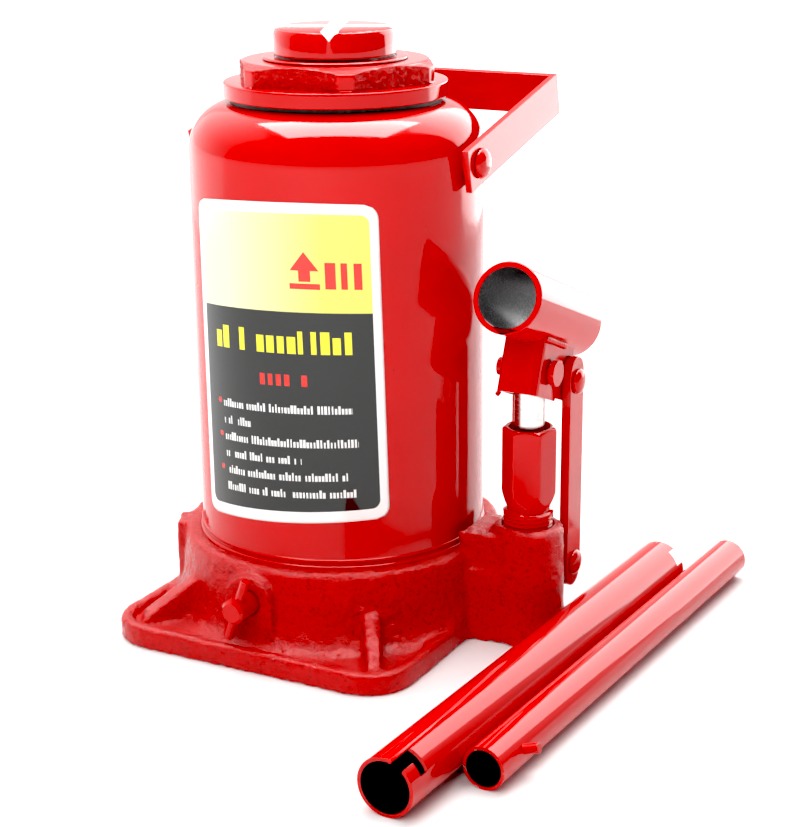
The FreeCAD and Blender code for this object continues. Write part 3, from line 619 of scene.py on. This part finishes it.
def casting_mesh():
    """The base casting rebuilt on an even grid, its corners worn by averaging, then pushed
    along its normals by waves, lumps and grains of noise. The underside stays on z = 0."""
    casting = bpy.context.scene.jack_casting
    rough = bpy.data.objects.new("casting.rough", merged_copy("base_casting"))
    bpy.context.scene.collection.objects.link(rough)
    remesh = rough.modifiers.new("even grid", "REMESH")
    remesh.mode = "VOXEL"
    remesh.voxel_size = casting.grid
    mesh = bpy.data.meshes.new_from_object(
        rough.evaluated_get(bpy.context.evaluated_depsgraph_get()))
    bpy.data.objects.remove(rough)
    points = np.empty(len(mesh.vertices) * 3)
    edges = np.empty(len(mesh.edges) * 2, np.int32)
    mesh.vertices.foreach_get("co", points)
    mesh.edges.foreach_get("vertices", edges)
    edges = edges.reshape(-1, 2)
    points = average_neighbours(points.reshape(-1, 3) / MM, edges, 4)
    mesh.vertices.foreach_set("co", (points * MM).ravel())
    mesh.update()
    normals = np.empty(len(mesh.vertices) * 3)
    mesh.vertices.foreach_get("normal", normals)
    push = casting.roughness * sum(lumps(points, size, seed) * height for size, seed, height
                                   in ((9.0, 1, 0.16), (4.2, 2, 0.14), (2.3, 3, 0.24)))
    x, y, z = points.T
    rib = (x > 33) & (x < 60) & (y < -45) & (z > 10)
    web = (x > 55) & (z > 37.5) & (np.hypot(x - PUMP_X, y) > 15)
    push += (rib | web) * (lumps(points, 2.2, 4) * 0.55 + 0.1)
    lug = (np.abs(x - PUMP_X) < 14) & (y > 9)
    push = np.where(lug, -0.15, push)
    points = points + normals.reshape(-1, 3) * push[:, None]
    points[:, 2] = np.maximum(points[:, 2], 0.0)
    mesh.vertices.foreach_set("co", (points * MM).ravel())
    mesh.shade_smooth()
    mesh.update()
    return mesh


def tank_mesh():
    """Turned profile of the tank: wall, rolled bead and seam at the foot, quarter-round
    shoulder, and the inside of the sheet 2.2 mm within; the wall wanders by a hair."""
    wall, lip = 59.0, 40.9
    shoulder, sheet = 18.5, 2.2
    bead_high, seam_high = 36.9, 39.9
    top, low = TANK_HIGH[2], TANK_LOW[2]
    arc = np.linspace(0, math.pi / 2, 18)
    outside = [(wall - 4.0, low), (wall, low), (wall, low + 3.4)]
    bead = np.linspace(-math.pi / 2, math.pi / 2, 9)
    outside += [(wall + 0.1 + 1.15 * math.cos(a), bead_high + 1.25 * math.sin(a)) for a in bead]
    outside += [(wall - 0.15, 38.6), (wall - 0.15, 38.9)]
    outside += [(wall + 0.1 + 0.55 * math.cos(a), seam_high + 0.7 * math.sin(a)) for a in bead]
    outside += [(wall, 41.2), (wall, 60.0), (wall, 120.0), (wall, 180.0)]
    outside += [(wall - shoulder + shoulder * math.cos(a), top - shoulder + shoulder * math.sin(a))
                for a in arc]
    outside += [(lip, top), (lip, top - sheet)]
    inside = [(wall - shoulder + (shoulder - sheet) * math.cos(a),
               top - shoulder + (shoulder - sheet) * math.sin(a)) for a in arc[::-1]]
    inside += [(wall - sheet, 120.0), (wall - sheet, low + 1.0)]
    profile = densify(np.array(outside + inside), 6.0)

    def waver(angle, height, radius):
        drawn = np.sin(2 * angle + 0.6) * 0.06 + np.sin(3 * angle + height * 0.02) * 0.04
        return radius + drawn * ((radius > wall - 3) & (height > 45) & (height < 195))

    return sheet_mesh("tank", revolve(profile, 256, radius_rule=waver), True, True)


def nut_mesh():
    """Closed profile of the top nut turned about its axis, where the grip's radius is the
    smaller of the turned profile and a soft hexagon; the flats are torn and lumpy."""
    flange, low, top = NUT_HIGH[0], NUT_LOW[2], NUT_HIGH[2]
    grip_low, apothem, turned_r = 221.2, 36.8, 41.0
    spigot, tank_top, socket, ceiling = 40.5, 215.2, 36.05, 205.0
    bore, recess, recess_low = 24.06, 27.9, 226.6
    corner = math.radians(-55.0)
    outline = [(socket, low), (spigot, low), (spigot, tank_top), (flange, tank_top),
               (flange, grip_low), (turned_r + 0.9, grip_low + 0.25), (turned_r, grip_low + 0.5),
               (turned_r, top - 2.0), (apothem - 0.2, top), (recess, top), (recess, recess_low),
               (bore, recess_low), (bore, ceiling), (socket, ceiling)]
    profile = densify(rounded_profile(outline, 0.5), 0.7)

    def grip(angle, height, radius):
        flat = hexagon_radius(angle, apothem, corner, 0.12)
        side = (radius > apothem - 0.5) & (height > grip_low + 0.2)
        cut = np.where(side, np.minimum(radius, flat), radius)
        on_flat = side & (flat < radius - 0.02) & (height < top - 0.35)
        points = np.stack([cut * np.cos(angle), cut * np.sin(angle), height * 1.25], axis=-1)
        points = points.reshape(-1, 3)
        torn = sum(lumps(points, size, seed) * share for size, seed, share
                   in ((1.6, 21, 0.42), (3.4, 22, 0.35), (0.8, 23, 0.2))).reshape(cut.shape)
        depth = np.clip((radius - flat) * 1.2, 0, 1) * np.clip((top - 0.35 - height) / 0.8, 0, 1)
        return cut + np.where(on_flat, (torn * 1.3 - 0.15) * depth, 0.0)

    return sheet_mesh("nut", revolve(profile, 448, radius_rule=grip), True, True, sharp=60.0)


def pump_mesh():
    """Hexagonal pump barrel: smooth minimum of hexagon and turned profile, with a rolled
    thread on the neck, r = crest - depth * triangle(height / pitch - angle / turn)."""
    top, low = PUMP_HIGH[2], PUMP_LOW[2]
    crest, pitch, depth = 10.2, 1.7, 0.75
    port, bore, bore_floor, gland, gland_low = 2.5, 6.18, 34.0, 8.2, top - 12
    body, neck_top, apothem = 11.2, 53.9, 9.53
    outline = [(port, low), (9.2, low), (crest, low + 1.5), (crest, neck_top), (9.4, 54.7),
               (8.4, 55.2), (8.6, 55.9), (body, 62.5), (body, top - 1.5), (9.3, top),
               (gland, top), (gland, gland_low), (bore, gland_low), (bore, bore_floor),
               (port, bore_floor)]
    profile = densify(rounded_profile(outline, 0.5), 0.5)

    def barrel(angle, height, radius):
        hexagon = hexagon_radius(angle, apothem, math.radians(-42.7), 0.16)
        blend = 0.22
        soft = -blend * np.log(np.exp(-hexagon / blend) + np.exp(-radius / blend))
        outer = radius > 8.35
        shaped = np.where(outer & (height > 55.5), soft, radius)
        phase = (height / pitch - angle / TAU) % 1.0
        tooth = np.abs(phase * 2 - 1)
        fade = np.clip((height - 44) / 2, 0, 1) * np.clip((54.2 - height) / 0.8, 0, 1)
        threaded = (radius > crest - 0.3) & (height < 54.5)
        return np.where(threaded, crest - depth * tooth * fade, shaped)

    return sheet_mesh("barrel", revolve(profile, 192, (PUMP_X, 0.0), barrel), True, True)


def screw_mesh():
    """Extension screw: trapezoid thread r = crest - depth * clip(slope * tooth), tooth being a
    triangle wave of height / pitch - angle / turn, with its neck and stop-ring groove plain."""
    low, top = SCREW_LOW[2], SCREW_HIGH[2]
    crest, depth, pitch = SCREW_HIGH[0], 1.9, 4.0
    shoulder, spigot, pole = SADDLE_LOW[2], 8.95, 0.01
    groove, groove_low, groove_high = crest - 1.7, low + 3.95, low + 6.45
    outline = [(pole, low), (crest - 1, low), (crest, low + 1), (crest, groove_low),
               (groove, groove_low), (groove, groove_high), (crest, groove_high),
               (crest, shoulder), (spigot, shoulder), (spigot, top), (pole, top)]
    profile = densify(rounded_profile(outline, 0.2, steps=2), 0.33)

    def thread(angle, height, radius):
        tooth = np.abs(((height / pitch - angle / TAU) % 1.0) * 2 - 1)
        cut = np.clip((tooth - 0.3) / 0.4, 0, 1) * depth
        fade = np.clip((height - low - 8) / 3, 0, 1) * np.clip((shoulder - 4 - height) / 3, 0, 1)
        return np.where(radius > crest - 0.05, radius - cut * fade, radius)

    return sheet_mesh("screw", revolve(profile, 80, radius_rule=thread), True, True)


def film_mesh():
    """Film on the tank: bilinear between four corners given as angle and height, bowed upward
    in the middle, its corners rounded by drawing each row's ends in along a quarter circle."""
    left_top, right_top = (-126.6, 178.9), (-45.7, 181.6)
    right_low, left_low = (-42.3, 57.2), (-124.8, 51.1)
    rows, columns, corner = 120, 72, 5.2
    radius = -FILM_LOW[1]
    up = np.linspace(0, 1, rows)
    edge = np.minimum(up, 1 - up) * FILM_HEIGHT
    inset = np.where(edge < corner,
                     corner - np.sqrt(np.maximum(corner ** 2 - (corner - edge) ** 2, 0)), 0)
    inset = (inset / FILM_WIDTH)[:, None]
    across = inset + (1 - 2 * inset) * np.linspace(0, 1, columns)[None, :]
    up = np.repeat(up[:, None], columns, axis=1)
    low = [left_low[i] + (right_low[i] - left_low[i]) * across for i in (0, 1)]
    high = [left_top[i] + (right_top[i] - left_top[i]) * across for i in (0, 1)]
    angle = np.radians(low[0] + (high[0] - low[0]) * up)
    height = low[1] + (high[1] - low[1]) * up + 4 * across * (1 - across) * (0.95 + 1.45 * up)
    points = np.stack([radius * np.cos(angle), radius * np.sin(angle), height], axis=-1)
    return sheet_mesh("film", points, False, False, np.stack([across, up], axis=-1))


def close_poles(mesh):
    """Joins the coincident points at the ends of a tube that narrows to nothing."""
    work = bmesh.new()
    work.from_mesh(mesh)
    bmesh.ops.remove_doubles(work, verts=work.verts, dist=0.001 * MM)
    work.to_mesh(mesh)
    work.free()


def on_socket(x, y, z):
    """A point of the handle socket in the jack's frame. It is given from the point at PIN_HIGH
    on the pump's axis, as if the socket's tube were level."""
    tilt = math.radians(SOCKET_TILT)
    return (PUMP_X + x, y * math.cos(tilt) + z * math.sin(tilt),
            PIN_HIGH + z * math.cos(tilt) - y * math.sin(tilt))


def weld_bead(start, end, radius, seed):
    """Weld along a straight joint: a tube whose radius swells with the sine of half a turn for
    each ripple's length, and wanders with noise; the ends close to a point."""
    start, end = np.array(start, float), np.array(end, float)
    length = np.linalg.norm(end - start)
    ripple = 1.1
    along = (end - start) / length
    side = np.cross((0, 0, 1), along)
    side /= np.linalg.norm(side)
    rise = np.cross(along, side)
    t = np.linspace(0, 1, 64)[:, None]
    angle = np.linspace(0, TAU, 20, endpoint=False)[None, :]
    line = start + along * length * t
    wander = lumps(line, 3.0, seed)[:, None]
    girth = radius * (1 + 0.12 * np.sin(t * length / ripple * TAU / 2) + 0.2 * wander)
    girth = girth * np.sqrt(np.clip(1 - (2 * t - 1) ** 8, 0, 1))
    ring = side * np.cos(angle)[..., None] - rise * np.sin(angle)[..., None]
    return line[:, None, :] + ring * girth[..., None]


# ---- settings a user would change ----
class JackPaint(PropertyGroup):
    """The red enamel on every painted piece."""
    red: FloatVectorProperty(name="Red", description="Colour of the enamel", subtype="COLOR",
                             size=3, min=0, max=1, default=(0.62, 0.002, 0.0015))
    roughness: FloatProperty(name="Roughness", description="Roughness of the enamel's gloss",
                             default=0.07, min=0, max=1, subtype="FACTOR")
    peel: FloatProperty(name="Orange peel", description="Height of the orange peel",
                        default=0.00003, unit="LENGTH", precision=5)


class JackCasting(PropertyGroup):
    """The rough base casting."""
    grid: FloatProperty(name="Grid", description="Spacing of the casting's mesh",
                        default=0.001, min=0.0005, unit="LENGTH", precision=5)
    roughness: FloatProperty(name="Roughness", description="How rough the sand mould was",
                             default=1.0, min=0)


class JackFilm(PropertyGroup):
    """The printed film on the tank."""
    yellow: FloatVectorProperty(name="Upper panel", description="Colour of the upper panel",
                                subtype="COLOR", size=3, min=0, max=1, default=(0.86, 0.80, 0.14))
    black: FloatVectorProperty(name="Lower panel", description="Colour of the lower panel",
                               subtype="COLOR", size=3, min=0, max=1, default=(0.012, 0.012, 0.011))
    split: FloatProperty(name="Split", description="Height of the join of the two panels",
                         default=0.0853, unit="LENGTH", precision=4)


class JackStage(PropertyGroup):
    """Camera, lights and floor."""
    azimuth: FloatProperty(name="Azimuth", description="Camera's turn round the jack",
                           default=math.radians(27.84), unit="ROTATION")
    floor_size: FloatProperty(name="Floor", description="Side of the floor", default=30.0,
                              unit="LENGTH")
    black: FloatProperty(name="Black level", description="Light that shows as black",
                         default=0.03, min=0, max=0.5)
    side_light: FloatProperty(name="Side light", description="Power of the side reflector, watts",
                              default=7.5, min=0)
    top_light: FloatProperty(name="Top light", description="Power of the top softbox, watts",
                             default=15.0, min=0)
    key_light: FloatProperty(name="Key light", description="Power of the key softbox, watts",
                             default=14.0, min=0)


# ---- operators ----
class JACK_OT_base_casting(Operator):
    """Rough cast base under enamel"""
    bl_idname = "jack.base_casting"
    bl_label = "Base casting"

    def execute(self, context):
        put_mesh("base_casting.cast", casting_mesh(), cast_enamel(), "base",
                 ["base_casting"])
        return {"FINISHED"}


class JACK_OT_tank(Operator):
    """Reservoir tank and its filler plug"""
    bl_idname = "jack.tank"
    bl_label = "Tank"

    def execute(self, context):
        put_mesh("reservoir_tank.drawn", tank_mesh(), enamel(), "base",
                 ["reservoir_tank"])
        soften("filler_plug", rubber(), "base")
        return {"FINISHED"}


class JACK_OT_film(Operator):
    """Printed film on the tank, generic"""
    bl_idname = "jack.film"
    bl_label = "Printed film"

    def execute(self, context):
        film = put_mesh("label_plate.film", film_mesh(), film_print(), "base",
                        ["label_plate"])
        wall = film.modifiers.new("film thickness", "SOLIDIFY")
        wall.thickness = 0.15 * MM
        wall.offset = -1.0
        return {"FINISHED"}


class JACK_OT_top_nut(Operator):
    """Top nut with torn forged flats, and the wiper ring in it"""
    bl_idname = "jack.top_nut"
    bl_label = "Top nut"

    def execute(self, context):
        put_mesh("top_nut.forged", nut_mesh(), forged_enamel(), "base",
                 ["top_nut"])
        soften("wiper_ring", enamel(), "base")
        return {"FINISHED"}


class JACK_OT_lift(Operator):
    """Ram, threaded extension screw with its stop-ring groove, and load saddle"""
    bl_idname = "jack.lift"
    bl_label = "Ram and screw"

    def execute(self, context):
        put_mesh("extension_screw.cut", screw_mesh(),
                 ground_steel("cut steel", (0.5, 0.49, 0.47), (1.0, 1.0, 4.0), 0.28),
                 "load_screw", ["extension_screw"])
        soften("saddle", saddle_enamel(), "load_screw", 0.5)
        soften("ram", ground_steel(), "ram_column")
        return {"FINISHED"}


class JACK_OT_pump(Operator):
    """Pump barrel with its threaded neck, and the plunger"""
    bl_idname = "jack.pump"
    bl_label = "Pump"

    def execute(self, context):
        put_mesh("pump_cylinder.turned", pump_mesh(), enamel(), "base",
                 ["pump_cylinder"])
        soften("pump_plunger", ground_steel("plunger steel", (0.8, 0.79, 0.78)), "plunger")
        return {"FINISHED"}


class JACK_OT_lever(Operator):
    """Handle socket, its yoke and welds, the pins, and the fulcrum link"""
    bl_idname = "jack.lever"
    bl_label = "Lever"

    def execute(self, context):
        paint = enamel()
        mount = MOUNTS["handle_socket_bore"]
        soften("handle_socket_tube",
               tube_enamel("socket enamel", mount, 33.0, (0.02, 0.018, 0.02, 1.0), 1.0, 0.0),
               "handle_socket", 0.6)
        soften("handle_socket_yoke", paint, "handle_socket", 0.5)
        beside, back, front, high, radius = 8.9, -11.5, 11.0, 11.9, 1.3
        for side in (-1, 1):
            bead = weld_bead(on_socket(side * beside, back, high),
                             on_socket(side * beside, front, high), radius, 31 + side)
            weld = sheet_mesh("weld", bead, False, True)
            close_poles(weld)
            weld_name = "handle_socket.weld_" + ("left" if side < 0 else "right")
            put_mesh(weld_name, weld, paint, "handle_socket", [])
        for node in ("link_bars", "link_upper_rivet", "link_lower_rivet"):
            soften(node, paint, "fulcrum_link", 0.5)
        for node in ("plunger_pin", "plunger_pin_washer", "plunger_split_pin"):
            soften(node, paint, "plunger", 0.35)
        return {"FINISHED"}


class JACK_OT_release_valve(Operator):
    """Release valve screw and its tee pin"""
    bl_idname = "jack.release_valve"
    bl_label = "Release valve"

    def execute(self, context):
        paint = enamel()
        soften("release_valve_screw", paint, "release_valve", 0.5)
        soften("release_tee_pin", paint, "release_valve", 0.5)
        return {"FINISHED"}


class JACK_OT_carry_handle(Operator):
    """Flat carry handle and the two studs that it swings on"""
    bl_idname = "jack.carry_handle"
    bl_label = "Carry handle"

    def execute(self, context):
        paint = enamel()
        soften("carry_handle", paint, "bail", 0.4)
        soften("carry_handle_studs", paint, "base", 0.4)
        return {"FINISHED"}


class JACK_OT_handle_tubes(Operator):
    """The two tubes of the pump handle and the locking peg"""
    bl_idname = "jack.handle_tubes"
    bl_label = "Handle tubes"

    def execute(self, context):
        dark = (0.02, 0.002, 0.002, 1.0)
        for node, mount, half in (("handle_tube_large", "large_tube_bore", 113.7),
                                  ("handle_tube_small", "small_tube_bore", 112.4)):
            finish = tube_enamel(node.replace("_", " "), MOUNTS[mount], half, dark, 0.0, 0.5)
            soften(node, finish, frame_body(node), 0.3)
        soften("handle_tube_peg", enamel(), "small_tube", 0.4)
        return {"FINISHED"}


class JACK_OT_inner_parts(Operator):
    """Finishes of the seals, springs, balls and other pieces inside"""
    bl_idname = "jack.inner_parts"
    bl_label = "Inner parts"

    def execute(self, context):
        black, copper = rubber(), plain_metal("soft copper", (0.72, 0.36, 0.2), 0.3)
        zinc, steel = plain_metal("zinc plate", (0.56, 0.55, 0.5), 0.3), ground_steel("inner steel")
        finishes = {"black_rubber": black, "copper": copper, "plated_steel": zinc,
                    "bright_steel": steel}
        stood_for = {n for o in bpy.data.objects for n in o.get("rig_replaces", [])}
        for part in frame["record"]["subparts"]:
            if part["node"] not in stood_for:
                node = frame["nodes"][part["node"]]
                node.data.materials.clear()
                node.data.materials.append(finishes[part["material_slot"]])
        return {"FINISHED"}


def frame_body(node):
    return frame["nodes"][node]["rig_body"]


CAMERA_PLACE = (0.36986, -0.6481, 0.3148)     # metres
CAMERA_PITCH, CAMERA_ROLL = 17.3, -0.46       # degrees
CAMERA_LENS, SENSOR_WIDTH = 81.44, 36.0       # millimetres


def area_light(name, place, target, size, power, shine):
    """Soft light that faces its target, and is seen either in reflections only or not at all
    in them."""
    data = bpy.data.lights.new(name, "AREA")
    data.shape = "RECTANGLE"
    data.size, data.size_y = size
    data.energy = power
    light = bpy.data.objects.new(name, data)
    bpy.context.scene.collection.objects.link(light)
    light.location = place
    light.rotation_mode = "QUATERNION"
    light.rotation_quaternion = (target - place).to_track_quat("-Z", "Y")
    light.visible_camera = False
    light.visible_glossy = shine
    light.visible_diffuse = not shine


class JACK_OT_stage(Operator):
    """Camera, soft studio lights, pale backdrop and floor"""
    bl_idname = "jack.stage"
    bl_label = "Stage"

    def execute(self, context):
        scene, stage = context.scene, context.scene.jack_stage
        azimuth, pitch = stage.azimuth, math.radians(CAMERA_PITCH)
        roll = math.radians(CAMERA_ROLL)
        back = Vector((math.sin(azimuth) * math.cos(pitch), -math.cos(azimuth) * math.cos(pitch),
                       math.sin(pitch)))
        right = Vector((math.cos(azimuth), math.sin(azimuth), 0.0))
        up = back.cross(right)
        data = bpy.data.cameras.new("camera")
        data.lens = CAMERA_LENS
        data.sensor_width = SENSOR_WIDTH
        data.clip_start, data.clip_end = 0.05, 60.0
        camera = bpy.data.objects.new("camera", data)
        scene.collection.objects.link(camera)
        turned_right = right * math.cos(roll) + up * math.sin(roll)
        turned_up = up * math.cos(roll) - right * math.sin(roll)
        turn = Matrix((turned_right, turned_up, back)).transposed().to_4x4()
        camera.matrix_world = Matrix.Translation(CAMERA_PLACE) @ turn
        scene.camera = camera
        scene.view_settings.view_transform = "Standard"
        scene.view_settings.use_curve_mapping = True
        scene.view_settings.curve_mapping.black_level = (stage.black,) * 3

        away = Vector((-back.x, -back.y, 0)).normalized()
        middle = Vector((0.02, 0, 0.11))
        above = Vector((0, 0, 1))
        area_light("side reflector", middle + right * 0.4 + away * 0.38 + above * 0.3, middle,
                   (0.62, 0.9), stage.side_light, True)
        area_light("left reflector", middle - right * 0.5 + away * 0.3 + above * 0.3, middle,
                   (0.8, 0.9), stage.side_light * 0.22, True)
        area_light("top reflector", middle + away * 0.08 + above, middle, (1.05, 0.8),
                   stage.top_light * 3, True)
        area_light("key softbox", middle - away * 1.2 - right * 0.5 + above * 0.9, middle,
                   (1.0, 1.0), stage.key_light, False)
        area_light("top softbox", middle + away * 0.2 + above, middle, (1.0, 1.0),
                   stage.top_light, False)
        pale_floor(stage.floor_size)
        pale_sky(scene, away)
        return {"FINISHED"}


def pale_floor(side):
    """One large pale plane whose tone hardly varies."""
    mesh = bpy.data.meshes.new("floor")
    half = side / 2
    mesh.from_pydata([(-half, -half, 0), (half, -half, 0), (half, half, 0), (-half, half, 0)], [],
                     [(0, 1, 2, 3)])
    floor = bpy.data.objects.new("floor", mesh)
    bpy.context.scene.collection.objects.link(floor)
    floor.location.z = -0.02 * MM
    material, place = new_finish("pale floor")
    tone = place.noise(400.0, 2.0)
    glow = place.vector("LENGTH", out=1).ramp(0.2, 1.4)
    close_finish(place, colour=tone.mix((0.86, 0.86, 0.86, 1), (0.9, 0.9, 0.9, 1)), roughness=0.6,
                 specular=0.2, glow=glow.mix((0, 0, 0, 1), (1, 1, 1, 1)), glow_strength=1.0)
    mesh.materials.append(material)


def pale_sky(scene, away):
    """White world that is bright beyond the jack and dim behind the camera."""
    world = bpy.data.worlds.new("studio")
    scene.world = world
    world.use_nodes = True
    world.node_tree.nodes.clear()
    start = Wire(world.node_tree)
    direction = start.node("ShaderNodeTexCoord", out=0)
    beyond = direction.vector("DOT_PRODUCT", tuple(away), out=1)
    side = direction.vector("DOT_PRODUCT", (-away.y, away.x, 0.0), out=1)
    left = beyond.ramp(-0.05, 0.6, 0.03, 1.15)
    right = beyond.ramp(0.3, 0.42, 0.03, 1.15)
    blend = side.ramp(-0.1, 0.1)
    high = direction.parts()[2].ramp(0.35, 0.7) * abs(side).ramp(0.15, 0.5, 0.0, 0.7)
    strength = left * blend + right * (1 - blend) + high
    light = start.node("ShaderNodeBackground", {}, {"Color": (1, 1, 1, 1), "Strength": strength})
    start.node("ShaderNodeOutputWorld", {}, {"Surface": light})


PIECES = (JACK_OT_base_casting, JACK_OT_tank, JACK_OT_film, JACK_OT_top_nut, JACK_OT_lift,
          JACK_OT_pump, JACK_OT_lever, JACK_OT_release_valve, JACK_OT_carry_handle,
          JACK_OT_handle_tubes, JACK_OT_inner_parts, JACK_OT_stage)
SETTINGS = {"jack_paint": JackPaint, "jack_casting": JackCasting, "jack_film": JackFilm,
            "jack_stage": JackStage}


class JACK_PT_panel(Panel):
    """Lists the pieces of the jack and their settings"""
    bl_idname = "JACK_PT_panel"
    bl_label = "Bottle jack"
    bl_space_type = "VIEW_3D"
    bl_region_type = "UI"
    bl_category = "Bottle jack"

    def draw(self, context):
        for operator in PIECES:
            self.layout.operator(operator.bl_idname)
        for name, group in SETTINGS.items():
            box = self.layout.box()
            box.label(text=group.__doc__)
            for key in group.__annotations__:
                box.prop(getattr(context.scene, name), key)


def register():
    for one in (*SETTINGS.values(), *PIECES, JACK_PT_panel):
        bpy.utils.register_class(one)
    for name, group in SETTINGS.items():
        setattr(bpy.types.Scene, name, PointerProperty(type=group))


def unregister():
    for name in SETTINGS:
        delattr(bpy.types.Scene, name)
    for one in reversed((*SETTINGS.values(), *PIECES, JACK_PT_panel)):
        bpy.utils.unregister_class(one)


def main():
    register()
    for operator in PIECES:
        group, name = operator.bl_idname.split(".")
        getattr(getattr(bpy.ops, group), name)()


if __name__ == "__main__":
    main()
